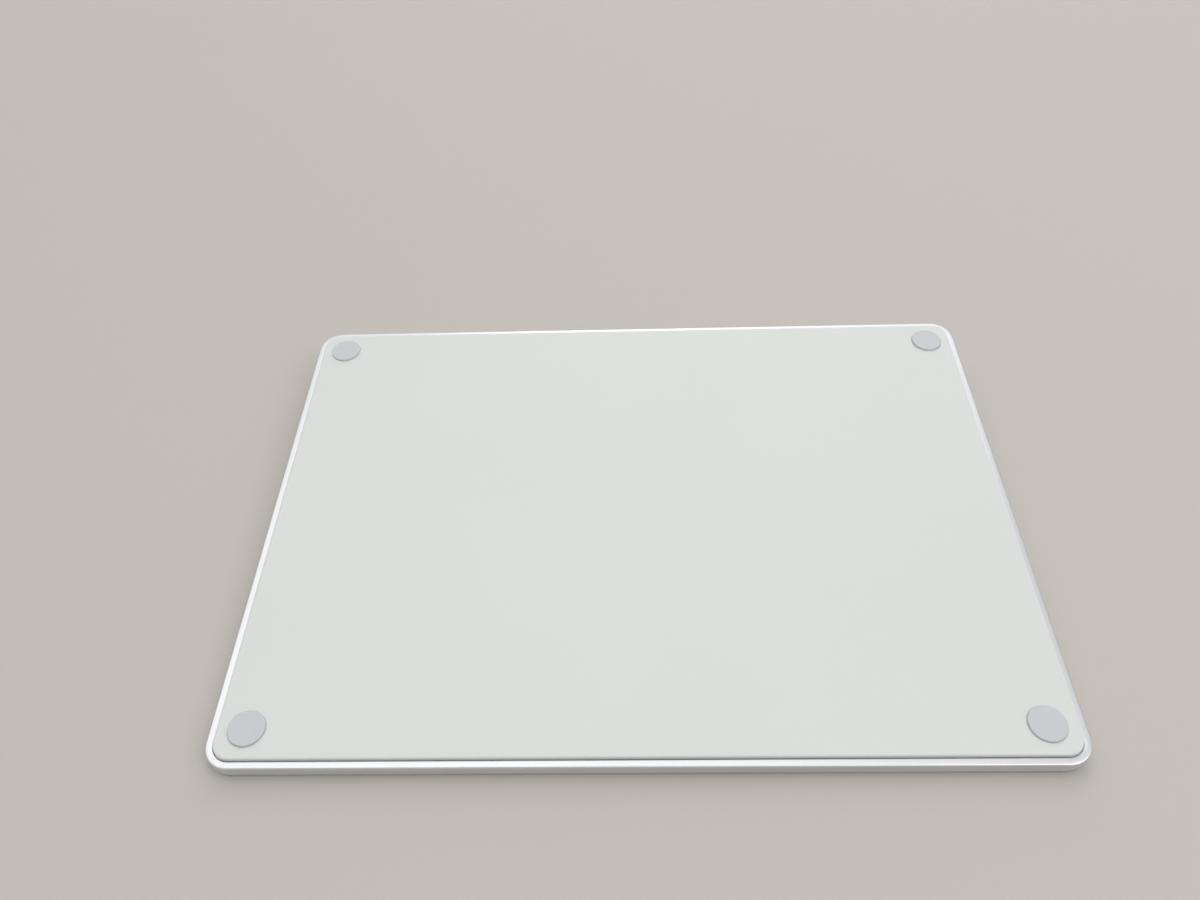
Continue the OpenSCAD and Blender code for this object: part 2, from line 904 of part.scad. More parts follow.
// Steel plate with a spine, ribs and an outer band left between its windows
module stiffener_plate() {
    notch_l = flexure_base_l + 2 * notch_gap;
    notch_w = flexure_base_w + 2 * notch_gap;
    plug_l = connector_w + 2 * notch_gap;
    plug_w = sensor_plug_d + 2 * notch_gap;
    color("lightslategray")
        on_slope(plate_depth)
            linear_extrude(stiffener_t)
                difference() {
                    rounded_outline(plate_w, plate_d, plate_r);
                    for (sx = [-1, 1], sy = [-1, 1], i = [0, 1])
                        translate([sx * (window_x + i * (window_w + stiffener_rib)), sy * window_y])
                            rounded_outline(window_w, window_d, window_r);
                    for (c = corners)
                        translate([c[1] * seat_x, c[2] * seat_y])
                            rounded_outline(notch_l, notch_w, flexure_base_r);
                    at_flexure_tabs()
                        circle(d = screw_d + 2 * screw_gap);
                    translate([connector_x, sensor_y])
                        rounded_outline(plug_l, plug_w, notch_gap);
                }
}

module touch_chips() {
    color("black")
        on_slope(sensor_depth + touch_chip_t)
            for (s = [-1, 1])
                block(s * window_x, -window_y, 0, touch_chip, touch_chip, touch_chip_t);
}

module sensor_connector() {
    color("dimgray")
        on_slope(sensor_depth + connector_h)
            block(connector_x, sensor_y, 0, connector_w, sensor_plug_d, connector_h);
}

// Iron angle under the plate's spine, which the core pulls sideways
module armature() {
    color("darkslategray") {
        on_slope(plate_depth + flange_t)
            block(armature_x + armature_flange / 2, actuator_y, 0, armature_flange, armature_d, flange_t);
        difference() {
            block(armature_x + armature_t / 2, actuator_y, core_z, armature_t, core_d, rear_h);
            above_slope(plate_depth + flange_t / 2);
        }
    }
}

module tab_spacers() {
    color("silver")
        on_slope(flexure_depth)
            at_flexure_tabs()
                difference() {
                    cylinder(d = spacer_d, h = spacer_h);
                    translate([0, 0, -over])
                        cylinder(d = screw_d + 2 * screw_gap, h = spacer_h + 2 * over);
                }
}

module tab_screws() {
    shank_l = flexure_t + spacer_h + stiffener_t - screw_gap;
    color("gray")
        on_slope(seat_depth)
            at_flexure_tabs()
                mirror([0, 0, 1])
                    flat_screw(shank_l);
}

module power_knob() {
    rib_w = 0.4;
    rib_pitch = 0.9;
    color("silver") {
        rearward(off_x, carrier_front, knob_face)
            stadium(knob_l, knob_h);
        for (i = [-1:1])
            rearward(off_x + i * rib_pitch, carrier_front, knob_face + knob_rib_h)
                square([rib_w, knob_h / 2], center = true);
    }
}

module power_carrier() {
    color("dimgray")
        difference() {
            union() {
                block(off_x, (carrier_front + carrier_back) / 2, port_z - carrier_h / 2,
                      carrier_l, carrier_t, carrier_h);
                block(off_x, (stem_back + carrier_front) / 2, port_z - stem_h / 2,
                      stem_w, carrier_front - stem_back, stem_h);
            }
            power_mark();
        }
}

// Coloured inlay that shows in the slot when the knob is slid to the right
module power_mark() {
    mark_l = switch_travel + knob_h / 2;
    mark_from = off_x - knob_l / 2 - switch_travel;
    color("limegreen")
        block(mark_from + mark_l / 2, carrier_front - mark_t / 2, port_z - knob_h / 2,
              mark_l, mark_t, knob_h);
}

housing_frame();
bottom_cover();
cover_adhesive();
for (c = corners) foot(c[1], c[2]);
battery_cell();
battery_pads();
battery_guard_board();
battery_lead();
logic_board();
logic_chips();
radio_shield();
cable_connectors();
logic_screws();
port_shell();
port_tongue();
switch_body();
antenna_carrier();
antenna_foil();
actuator_base();
actuator_core();
actuator_coils();
actuator_screws();
actuator_cable();
sensor_cable();
flexure_screws();
for (c = corners) flexure(c[1], c[2]);
strain_gauges();
touch_glass();
sensor_board();
touch_chips();
sensor_connector();
stiffener_plate();
armature();
tab_spacers();
tab_screws();
power_knob();
power_carrier();
power_mark();
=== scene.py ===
# %% [markdown]
# # A slim wireless trackpad
#
# The construction model already gives every solid, in metres, with the feet on z = 0, the thin front edge
# towards -Y and the touch glass on top. It could be rendered as it is, but its edges are plain. So this
# lesson models the pieces that show again, with soft edges and fine detail, and the springs, which have to
# bend. The other hidden pieces keep their solids, and every piece gets a finish made of nodes.

# %% Load the construction model
import json
import math

import bmesh
import bpy
from mathutils import Matrix, Vector

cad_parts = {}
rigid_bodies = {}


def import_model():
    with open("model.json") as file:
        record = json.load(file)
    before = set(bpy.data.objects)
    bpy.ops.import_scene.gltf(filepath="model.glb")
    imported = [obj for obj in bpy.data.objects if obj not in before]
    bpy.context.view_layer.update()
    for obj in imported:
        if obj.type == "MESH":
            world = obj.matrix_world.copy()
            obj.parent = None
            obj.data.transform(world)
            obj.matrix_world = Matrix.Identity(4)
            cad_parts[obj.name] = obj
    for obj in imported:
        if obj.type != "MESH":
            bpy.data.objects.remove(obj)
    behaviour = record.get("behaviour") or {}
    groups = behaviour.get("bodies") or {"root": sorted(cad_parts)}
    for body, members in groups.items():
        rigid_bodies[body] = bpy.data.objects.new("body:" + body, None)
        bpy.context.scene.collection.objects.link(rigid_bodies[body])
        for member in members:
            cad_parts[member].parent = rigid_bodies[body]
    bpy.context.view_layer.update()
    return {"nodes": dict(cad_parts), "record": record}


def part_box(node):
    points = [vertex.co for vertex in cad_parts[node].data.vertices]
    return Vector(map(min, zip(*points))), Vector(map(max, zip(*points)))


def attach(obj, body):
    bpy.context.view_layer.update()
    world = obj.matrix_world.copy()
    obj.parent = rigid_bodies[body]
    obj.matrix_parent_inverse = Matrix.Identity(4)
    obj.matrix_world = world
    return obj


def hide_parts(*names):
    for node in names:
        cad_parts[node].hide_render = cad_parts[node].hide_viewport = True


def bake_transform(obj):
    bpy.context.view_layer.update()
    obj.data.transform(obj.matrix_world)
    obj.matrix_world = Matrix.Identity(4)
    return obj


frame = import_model()
nodes = frame["nodes"]
MM = 0.001

# %% [markdown]
# ## Where the camera stands
#
# The photograph shows the trackpad lying on its glass, with the bottom cover up and the thin edge near the
# viewer. The model could be turned over, but it has to stay the way it is used, feet down. So the camera
# goes under it instead and looks up, turned until the thick edge is at the top of the picture. Its place and
# lens were solved from the edges and corners of the outline in the photograph.

# %% Camera
SENSOR, FOCAL_PIXELS, IMAGE_WIDTH = 36, 939.819, 1200
eye = Vector((1.921, -122.809, -162.27)) * MM
ahead = Vector((0.029268, 0.64881, 0.760387)).normalized()
to_right = Vector((-0.999463, 0.007798, 0.031817))
to_right = (to_right - ahead * to_right.dot(ahead)).normalized()
to_top = to_right.cross(ahead)

bpy.ops.object.select_all(action="DESELECT")
bpy.ops.object.camera_add()
camera = bpy.context.object
camera.name = "photo_camera"
camera.matrix_world = Matrix.Translation(eye) @ Matrix((to_right, to_top, -ahead)).transposed().to_4x4()
camera.data.sensor_fit = "HORIZONTAL"
camera.data.sensor_width = SENSOR
camera.data.lens = SENSOR * FOCAL_PIXELS / IMAGE_WIDTH
camera.data.clip_start = 0.005
bpy.context.scene.camera = camera
print("camera lens, mm:", round(camera.data.lens, 2))

# %% [markdown]
# ## Colours and nodes
#
# Colours are written as they look on a screen, but the shader wants linear light, so one function converts
# them. A second adds a node: it takes the node's settings and, for each input, a value, a socket or another
# node, whose first output it then uses. A third starts an empty material and gives the socket that says
# where on the object a point lies, in metres. Places on the object were chosen over places in the picture,
# because a pattern can then have its real size and stays on its piece when that moves. Nearly every finish
# mixes two close colours by a pattern and ends with one shader, so two more functions take up those steps.

# %% Helpers for finishes
def linear(code):
    """Linear RGBA of an sRGB hex colour."""
    parts = [int(code[i:i + 2], 16) / 255 for i in (1, 3, 5)]
    return (*[p / 12.92 if p <= 0.04045 else ((p + 0.055) / 1.055) ** 2.4 for p in parts], 1.0)


def add(tree, kind, inputs=None, **settings):
    """Adds a node with its settings, and feeds each input with a value, a socket or a node."""
    node = tree.nodes.new("ShaderNode" + kind)
    for name, value in settings.items():
        setattr(node, name, value)
    for name, value in (inputs or {}).items():
        if isinstance(value, bpy.types.Node):
            value = next(socket for socket in value.outputs if socket.enabled)
        if isinstance(value, bpy.types.NodeSocket):
            tree.links.new(value, node.inputs[name])
        else:
            node.inputs[name].default_value = value
    return node


def blank(name):
    """An empty material: (material, its node tree, the socket that gives places on the object)."""
    material = bpy.data.materials.new(name)
    material.use_nodes = True
    material.node_tree.nodes.clear()
    print("finish:", name)
    return material, material.node_tree, add(material.node_tree, "TexCoord").outputs["Object"]


def two_tone(tree, pattern, first, second):
    """The first colour where the pattern is 0, the second where it is 1."""
    # A Mix node has inputs for every kind of value: 6 and 7 are its two colours
    return add(tree, "Mix", {0: pattern, 6: linear(first), 7: linear(second)}, data_type="RGBA")


def surface(tree, inputs):
    """Ends a material with a shader that has these inputs."""
    add(tree, "OutputMaterial", {"Surface": add(tree, "BsdfPrincipled", inputs)})


# %% [markdown]
# ## Choosing parts of a mesh
#
# By hand, one clicks on the edges and faces to work on. In code they could be named by number, but numbers
# change with every step. So they are chosen by where they lie: a test gets the corners of each edge or face
# and says whether it is wanted. Before that everything is deselected, because an operator works on all that
# is selected.

# %% Helpers for choosing
def bare(piece=None):
    """Object mode with nothing selected, or only the piece, which is then active."""
    if bpy.context.mode != "OBJECT":
        bpy.ops.object.mode_set(mode="OBJECT")
    bpy.ops.object.select_all(action="DESELECT")
    if piece:
        piece.select_set(True)
        bpy.context.view_layer.objects.active = piece


def pick(piece, kind, test):
    """Edit mode on the piece, with only those edges or faces selected whose corners pass the test."""
    bare(piece)
    bpy.ops.object.mode_set(mode="EDIT")
    bpy.ops.mesh.select_mode(type=kind)
    bpy.ops.mesh.select_all(action="DESELECT")
    shape = bmesh.from_edit_mesh(piece.data)
    for part in shape.edges if kind == "EDGE" else shape.faces:
        if test([corner.co for corner in part.verts]):
            part.select_set(True)
    bmesh.update_edit_mesh(piece.data)


# %% [markdown]
# ## The slope of the glass
#
# The glass rises from the thin front edge to the thick rear edge, by about three degrees. What lies in that
# plane, or square to it, could be modelled aslant. It is easier to make it flat at z = 0, where heights are
# plain numbers, and to tilt it into place at the end.

# %% Tilt
FRONT_HEIGHT, REAR_HEIGHT, DEPTH = 4.9 * MM, 10.9 * MM, 114.9 * MM
SLOPE = math.atan((REAR_HEIGHT - FRONT_HEIGHT) / DEPTH)
GLASS_MID = (FRONT_HEIGHT + REAR_HEIGHT) / 2


def tilt(piece):
    """Turns a mesh that was made flat at z = 0 into the plane of the glass face."""
    bare(piece)
    piece.rotation_euler.x = SLOPE
    piece.location.z = GLASS_MID
    bpy.ops.object.transform_apply()
    return piece


print("slope, degrees:", round(math.degrees(SLOPE), 2))

# %% [markdown]
# ## The floors
#
# In the photograph the glass lies on the floor, and in the other views the feet do. One floor can't serve
# both, so there are two plain sheets of matt paper, each seen from its own side only: the upper one lies
# against the glass and shows from below, the lower one lies under the feet and shows from above. Seen from
# behind a sheet is clear, so it hides nothing. Far away the paper takes on the room's tone, as a studio's
# paper sweep does, so that the horizon is soft. The upper one has a hole under the glass, so that the glass
# doesn't mirror it.

# %% Paper that shows on one side
ROOM_LIGHT, ROOM_BELOW, ROOM_ABOVE = 0.44, 0.52, 0.82
FADE_START, FADE_END = 0.3, 1.6
floor_paper, tree, place = blank("matt_floor_paper")
matt = add(tree, "BsdfPrincipled", {"Base Color": linear("#CBC5BE"), "Roughness": 0.9})
away = add(tree, "VectorMath", {0: place}, operation="LENGTH")
fade = add(tree, "MapRange", {"Value": away, "From Min": FADE_START, "From Max": FADE_END},
           interpolation_type="SMOOTHSTEP")
glow = add(tree, "Emission", {"Color": (1, 1, 1, 1), "Strength": ROOM_ABOVE})
paper = add(tree, "MixShader", {0: fade, 1: matt, 2: glow})
behind = add(tree, "NewGeometry").outputs["Backfacing"]
one_sided = add(tree, "MixShader", {0: behind, 1: paper, 2: add(tree, "BsdfTransparent")})
add(tree, "OutputMaterial", {"Surface": one_sided})

# %% Floors
SHEET_X, SHEET_Y, SHEET_CORNER, SHEET_SPREAD = 159 * MM, 114 * MM, 4.5 * MM, 60
UNDER_FEET, FRONT_OF_SHEET = -0.05 * MM, -55.6 * MM


def floor(name, holed, spread_from):
    """A wide sheet, grown from a rounded outline a little smaller than the glass, flat at z = 0."""
    bare()
    bpy.ops.mesh.primitive_plane_add(size=1)
    sheet = bpy.context.object
    sheet.name = name
    bpy.ops.object.mode_set(mode="EDIT")
    bpy.ops.transform.resize(value=(SHEET_X, SHEET_Y, 1))
    bpy.ops.mesh.bevel(offset=SHEET_CORNER, segments=12, affect="VERTICES")
    pick(sheet, "EDGE", lambda points: True)
    bpy.ops.mesh.extrude_edges_move()
    bpy.ops.transform.resize(value=(SHEET_SPREAD, SHEET_SPREAD, 1), center_override=(0, spread_from, 0))
    if holed:
        pick(sheet, "FACE", lambda points: len(points) > 4)
        bpy.ops.mesh.delete(type="FACE")
        pick(sheet, "FACE", lambda points: True)
        bpy.ops.mesh.flip_normals()
    bare(sheet)
    sheet.data.materials.append(floor_paper)
    sheet.visible_diffuse = sheet.visible_transmission = sheet.visible_shadow = False
    sheet.visible_glossy = holed
    return sheet


# The sheets stand in a wedge, so the upper one spreads from its front edge and ends before they meet
tilt(floor("floor_against_glass", True, FRONT_OF_SHEET))
floor("floor_under_feet", False, 0).location.z = UNDER_FEET
print("floors: 2")

# %% [markdown]
# ## Light
#
# A pale room all round gives most of the light, as a white tent does in a studio. Lamps alone would give
# hard shadows, and the room alone would leave no shape, so broad soft lamps are added to it. The largest one
# hangs over the underside, a little to the +X side, because in the photograph the rim shines in front and on
# that side and is duller on the other. One beyond the thick edge brightens the far part of the cover, and
# one on the -X side evens it out. On either face the light adds up to about one, so that a colour renders as
# it is written. The room's walls look paler than the depth under the object, which the rim mirrors.

# %% Room
room = bpy.data.worlds.new("pale_room")
bpy.context.scene.world = room
room.use_nodes = True
tree = room.node_tree
tree.nodes.clear()
ray = add(tree, "LightPath").outputs
seen = add(tree, "Math", {0: ray["Is Camera Ray"], 1: ray["Is Glossy Ray"]}, operation="MAXIMUM")
seen = add(tree, "Math", {0: seen, 1: ray["Is Transmission Ray"]}, operation="MAXIMUM")
heading = add(tree, "SeparateXYZ", {0: add(tree, "TexCoord").outputs["Generated"]}).outputs["Z"]
backdrop = add(tree, "MapRange", {"Value": heading, "From Min": -0.3, "From Max": -0.05,
                                  "To Min": ROOM_BELOW, "To Max": ROOM_ABOVE})
# Inputs 2 and 3 of a Mix node are its two plain numbers
strength = add(tree, "Mix", {0: seen, 2: ROOM_LIGHT, 3: backdrop})
add(tree, "OutputWorld", {"Surface": add(tree, "Background", {"Color": (1, 1, 1, 1), "Strength": strength})})
bpy.context.scene.view_settings.view_transform = "Standard"
print("room nodes:", len(tree.nodes))


# %% Lamps
def lamp(name, place, size, power):
    """A square soft lamp that faces the object."""
    bare()
    bpy.ops.object.light_add(type="AREA", location=place)
    made = bpy.context.object
    made.name = name
    made.rotation_euler = (-Vector(place)).to_track_quat("-Z", "Y").to_euler()
    made.data.size, made.data.energy = size, power
    print(name, power, "W")


lamp("lamp_below", (0.45, 0.6, -1.85), 2.2, 13.6)
lamp("lamp_beyond", (-0.15, 0.85, -0.5), 0.7, 1.5)
lamp("lamp_beside", (-0.62, -0.3, -0.88), 0.8, 3.3)
lamp("lamp_above", (-0.5, 0.6, 1.85), 2.0, 26.0)

# %% [markdown]
# ## Finish: satin white polycarbonate
#
# The bottom cover is moulded in white polycarbonate. The mould is spark-eroded, which gives the plastic a
# silky skin: nearly white, with a broad weak shine. A plain white with a middle roughness would look like
# paper, so fine noise varies roughness and height. The pits are about 0.03 mm in truth and are drawn
# 0.25 mm wide, so that they show. A second, slow noise gives the drift in tone of a large moulded face.

# %% Satin polycarbonate
satin_cover, tree, place = blank("satin_polycarbonate")
pits = add(tree, "TexNoise", {"Vector": place, "Scale": 1 / (0.25 * MM), "Detail": 2.0})
drift = add(tree, "TexNoise", {"Vector": place, "Scale": 1 / (45 * MM), "Detail": 2.0})
tone = two_tone(tree, drift, "#E0E2E0", "#E4E6E4")
rough = add(tree, "MapRange", {"Value": pits, "To Min": 0.40, "To Max": 0.54})
bump = add(tree, "Bump", {"Height": pits, "Distance": 0.002 * MM, "Strength": 0.4})
surface(tree, {"Base Color": tone, "Roughness": rough, "Normal": bump, "IOR": 1.58})

# %% [markdown]
# ## From block to piece
#
# Most pieces of this object are plates with round corners, as a mill or a mould makes them. Such a plate
# could be drawn as a curve and filled, but a block with a bevel on its four upright edges takes one step and
# has exact sizes. Its other edges are softened by a second bevel.

# %% Helpers for blocks
def soften(piece, test, width, steps, profile=0.5):
    """Rounds the edges that pass the test; a profile over 0.5 is fuller than round."""
    pick(piece, "EDGE", test)
    bpy.ops.mesh.bevel(offset=width, segments=steps, profile=profile, affect="EDGES")
    bare(piece)


def level(axis, value):
    """A test for parts that lie wholly at one place along an axis."""
    return lambda points: all(abs(point["XYZ".index(axis)] - value) < 1e-7 for point in points)


def block(name, low, high, along, radius, steps=24):
    """A block between two corners, its four edges along one axis rounded."""
    low, high, axis = Vector(low), Vector(high), "XYZ".index(along)
    bare()
    bpy.ops.mesh.primitive_cube_add(size=1, location=(low + high) / 2, scale=high - low)
    piece = bpy.context.object
    piece.name = piece.data.name = name
    bpy.ops.object.transform_apply()
    soften(piece, lambda points: abs(points[0][axis] - points[1][axis]) > 1e-7, radius, steps)
    bpy.ops.object.mode_set(mode="EDIT")
    bpy.ops.mesh.select_all(action="SELECT")
    bpy.ops.mesh.remove_doubles(threshold=1e-7)
    bare(piece)
    return piece


# %% [markdown]
# Round pockets and holes are cut with discs. They could be made by hand in the mesh, but the Boolean
# modifier cuts through any face at any angle. A finished piece is shaded smooth except over sharp edges,
# takes its finish, and rides on the body of the construction model that it belongs to, so that it moves
# with it.

# %% Helpers for cutting and finishing
def joined(name, pieces):
    """The pieces as one mesh."""
    bare(pieces[0])
    for piece in pieces:
        piece.select_set(True)
    if len(pieces) > 1:
        bpy.ops.object.join()
    pieces[0].name = pieces[0].data.name = name
    return pieces[0]


def discs(name, places, radius, low, high, sides=40):
    """Upright discs at places in plan, joined into one mesh."""
    made = []
    for x, y in places:
        bare()
        bpy.ops.mesh.primitive_cylinder_add(
            vertices=sides, radius=radius, depth=high - low, location=(x, y, (low + high) / 2))
        bpy.ops.object.transform_apply()
        made.append(bpy.context.object)
    return joined(name, made)


def combine(piece, tool, operation="DIFFERENCE"):
    """Cuts the tool out of the piece, or adds it, and removes the tool."""
    bare(piece)
    step = piece.modifiers.new("combine", "BOOLEAN")
    step.object, step.operation, step.solver = tool, operation, "EXACT"
    bpy.ops.object.modifier_apply(modifier=step.name)
    bpy.data.meshes.remove(tool.data)


def dress(piece, body, slot, replaced, *materials, bend=None):
    """Shades a finished piece evenly, gives it its finish and ties it to its body.

    It rides on its body; when bend, (second body, start, end), is given, it stays in place tied to no body,
    and the values in bend are not used.
    """
    bare(piece)
    bpy.ops.object.shade_smooth_by_angle(angle=math.radians(35))
    step = piece.modifiers.new("even shading", "WEIGHTED_NORMAL")
    step.keep_sharp = True
    bpy.ops.object.modifier_apply(modifier=step.name)
    for material in materials:
        piece.data.materials.append(material)
    if bend:
        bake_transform(piece)
    else:
        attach(piece, body)
    if replaced:
        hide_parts(replaced)
    print(piece.name, len(piece.data.polygons), "faces")


# %% [markdown]
# ## The bottom cover
#
# On the real object this is a flat moulded plate, let into the metal rim and standing a little out of it.
# Its outer edge is rounded, and from the front its side shows as a dark line along the rim. A block with
# round corners gets its lower edge bevelled. Then shallow pockets are cut for the feet: feet that were only
# laid on the plate would look loose.

# %% Bottom cover
COVER_CORNER, COVER_EDGE, COVER_FULLNESS = 3.45 * MM, 0.5 * MM, 0.65
POCKET_GAP, POCKET_DEPTH, POCKET_EDGE = 0.02 * MM, 0.3 * MM, 0.05 * MM
FEET = ["front_left", "front_right", "rear_left", "rear_right"]
foot_boxes = {corner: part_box("foot_" + corner) for corner in FEET}
foot_places = [((low.x + high.x) / 2, (low.y + high.y) / 2) for low, high in foot_boxes.values()]
foot_radius = (foot_boxes["front_left"][1].x - foot_boxes["front_left"][0].x) / 2
pocket_radius = foot_radius + POCKET_GAP

low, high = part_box("bottom_cover")
cover = block("white_cover", low, high, "Z", COVER_CORNER)
soften(cover, level("Z", low.z), COVER_EDGE, 8, COVER_FULLNESS)
combine(cover, discs("pockets", foot_places, pocket_radius, 0, low.z + POCKET_DEPTH, 96))


def round_a_foot(points):
    """True for an edge at a pocket's mouth."""
    return level("Z", low.z)(points) and any(
        all(math.hypot(p.x - x, p.y - y) < 1.02 * pocket_radius for p in points) for x, y in foot_places)


soften(cover, round_a_foot, POCKET_EDGE, 2)
dress(cover, "housing", "white_polycarbonate", "bottom_cover", satin_cover)

# %% [markdown]
# ## Finish: grey foot elastomer
#
# The feet are die-cut from a sheet of light-grey elastomer. It is soft, slightly cool in colour and darker
# than the cover. A flat grey would look like paint, so a mottle about 0.6 mm wide, as filler gives it,
# varies tone, roughness and height a little.

# %% Foot elastomer
foot_elastomer, tree, place = blank("grey_foot_elastomer")
mottle = add(tree, "TexNoise", {"Vector": place, "Scale": 1 / (0.6 * MM), "Detail": 4.0})
tone = two_tone(tree, mottle, "#CBCED1", "#D4D6D8")
rough = add(tree, "MapRange", {"Value": mottle, "To Min": 0.40, "To Max": 0.55})
bump = add(tree, "Bump", {"Height": mottle, "Distance": 0.004 * MM, "Strength": 0.4})
surface(tree, {"Base Color": tone, "Roughness": rough, "Normal": bump, "IOR": 1.45})

# %% [markdown]
# ## The feet
#
# Each foot is a disc that stands half a millimetre out of the cover, with a soft edge and a face that is
# dished by a hair, as die-cutting leaves it. Four separate discs would mean the same work four times, so one
# is modelled and copied to each corner.

# %% Feet
FOOT_EDGE, FOOT_INSET, FOOT_DISH = 0.2 * MM, 0.25 * MM, 0.02 * MM
low, high = foot_boxes["front_left"]
foot = discs("foot_disc", foot_places[:1], foot_radius, low.z, high.z, 96)
soften(foot, level("Z", low.z), FOOT_EDGE, 6)
pick(foot, "FACE", lambda points: len(points) > 4 and level("Z", low.z)(points))
bpy.ops.mesh.inset(thickness=FOOT_INSET)
bpy.ops.mesh.inset(thickness=FOOT_INSET)
bpy.ops.transform.translate(value=(0, 0, FOOT_DISH))
for corner, (x, y) in zip(FEET, foot_places):
    bare(foot)
    bpy.ops.object.duplicate()
    disc = bpy.context.object
    disc.name = disc.data.name = "foot_disc_" + corner
    bpy.ops.transform.translate(value=(x - foot_places[0][0], y - foot_places[0][1], 0))
    bpy.ops.object.transform_apply()
    dress(disc, "housing", "grey_elastomer", "foot_" + corner, foot_elastomer)
bpy.data.meshes.remove(foot.data)

# %% [markdown]
# ## Finish: blasted and anodised aluminium
#
# The body is milled from aluminium, blasted with fine beads and anodised. The beads leave a frosted skin of
# tiny dimples: reflections spread wide and soft, with a faint sparkle and no grain direction. Brushed metal
# would need stretched noise, but this takes an even one, on roughness and height. The dimples are about
# 0.05 mm, too fine for the render, so they are drawn 0.3 mm wide. A slow drift in tone stands for the uneven
# hand of the blasting.

# %% Blasted aluminium
blasted_aluminium, tree, place = blank("blasted_anodised_aluminium")
dimples = add(tree, "TexNoise", {"Vector": place, "Scale": 1 / (0.3 * MM), "Detail": 3.0})
drift = add(tree, "TexNoise", {"Vector": place, "Scale": 1 / (22 * MM), "Detail": 2.0})
tone = two_tone(tree, drift, "#DADBDD", "#E2E3E5")
rough = add(tree, "MapRange", {"Value": dimples, "To Min": 0.30, "To Max": 0.44})
bump = add(tree, "Bump", {"Height": dimples, "Distance": 0.004 * MM, "Strength": 0.5})
surface(tree, {"Base Color": tone, "Roughness": rough, "Normal": bump, "Metallic": 1.0})

# %% [markdown]
# ## The metal body
#
# The body is one milled piece: a shallow tray with a recess under its floor for the cover, walls whose upper
# edge follows the slope of the glass, and blocks in its corners that carry the springs. It could be put
# together from walls and a floor, but a milled piece has no seams, so it starts as one block with round
# corners. The rim's edge is bevelled, the recess is inset and pushed in, and a bisect along the slope takes
# off the top.

# %% Body: tests along its outline and slope
low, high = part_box("housing_frame")
CORNER, RIM, DECK, DECK_TOP = 5 * MM, 1.45 * MM, 1.65 * MM, 2.45 * MM
WALL_DEPTH, BEYOND = 1.1 * MM, 20 * MM
print("rim, mm above the feet:", round(low.z / MM, 2))


def off_recess(point):
    """Distance of a point, in plan, outside the recess for the cover."""
    x = max(abs(point.x) - high.x + CORNER, 0)
    y = max(abs(point.y) - high.y + CORNER, 0)
    return math.hypot(x, y) - CORNER + RIM


def over_slope(point, depth):
    """Height of a point above the plane that lies at a depth under the glass face."""
    return (point.z - GLASS_MID) * math.cos(SLOPE) - point.y * math.sin(SLOPE) + depth


def bisect_slope(piece, depth, **sides):
    """Cuts a piece along the plane that lies at a depth under the glass face."""
    pick(piece, "FACE", lambda points: True)
    bpy.ops.mesh.bisect(plane_co=(0, 0, GLASS_MID - depth / math.cos(SLOPE)), use_fill=True, threshold=1e-7,
                        plane_no=(0, -math.sin(SLOPE), math.cos(SLOPE)), **sides)


# %% Body: rim, recess and sloped wall
OUTER_EDGE, RECESS_EDGE, WALL_EDGE = 0.3 * MM, 0.2 * MM, 0.12 * MM

body = block("aluminium_body", low, (high.x, high.y, 12 * MM), "Z", CORNER)
soften(body, level("Z", low.z), OUTER_EDGE, 4)
pick(body, "FACE", lambda points: len(points) > 4 and level("Z", low.z)(points))
bpy.ops.mesh.inset(thickness=RIM - OUTER_EDGE)
bpy.ops.mesh.extrude_region_move(TRANSFORM_OT_translate={"value": (0, 0, DECK - low.z)})
soften(body, lambda points: level("Z", low.z)(points) and all(abs(off_recess(p)) < 5e-6 for p in points),
       RECESS_EDGE, 3)
bisect_slope(body, WALL_DEPTH, clear_outer=True)
soften(body, lambda points: all(abs(over_slope(p, WALL_DEPTH)) < 1e-7 for p in points), WALL_EDGE, 3)
print("body:", len(body.data.polygons), "faces before milling")

# %% [markdown]
# The tray is cut in two goes, as a mill would do it: a pocket down to the deck that leaves the corner blocks
# and the board's standoffs, then a cut along the slope that planes the corner blocks down to the seats of
# the springs. One cutter for both would have to be as intricate as the tray itself.

# %% Body: tray and spring seats
SEAT = 2.5 * MM
TRAY_X, TRAY_Y, TRAY_CORNER = 78 * MM, 55.45 * MM, 3 * MM
POST_X, POST_Y, POST_CORNER = (63 * MM, 80 * MM), (46.45 * MM, 57.45 * MM), 0.5 * MM
STANDOFF_RADIUS, STANDOFF_HEIGHT = 2 * MM, 0.45 * MM
logic_screws = [(x * MM, y * MM) for x in (-33, 33) for y in (44.25, 50.85)]


def tray_cutter(name, bottom):
    """A block with the tray's outline that reaches from a height to well beyond the body."""
    return block(name, (-TRAY_X, -TRAY_Y, bottom), (TRAY_X, TRAY_Y, BEYOND), "Z", TRAY_CORNER)


pocket = tray_cutter("pocket", DECK_TOP)
for side_x in (-1, 1):
    for side_y in (-1, 1):
        near_x, far_x = sorted(side_x * x for x in POST_X)
        near_y, far_y = sorted(side_y * y for y in POST_Y)
        combine(pocket, block("post", (near_x, near_y, 0), (far_x, far_y, 1.5 * BEYOND), "Z", POST_CORNER, 4))
combine(pocket, discs("standoffs", logic_screws, STANDOFF_RADIUS, 0, DECK_TOP + STANDOFF_HEIGHT))
combine(body, pocket)

planed = tray_cutter("planed", 1.9 * MM)
bisect_slope(planed, SEAT, clear_inner=True)
combine(body, planed)
print("body:", len(body.data.polygons), "faces with its tray")

# %% [markdown]
# Under the springs' arms the metal is relieved, so that they have room to bend. Threaded holes take the
# screws, wider ones let a driver reach the springs' inner ends, and a window in the deck lets the antenna
# through. All are cut with discs and blocks, those of the springs square to the slope.

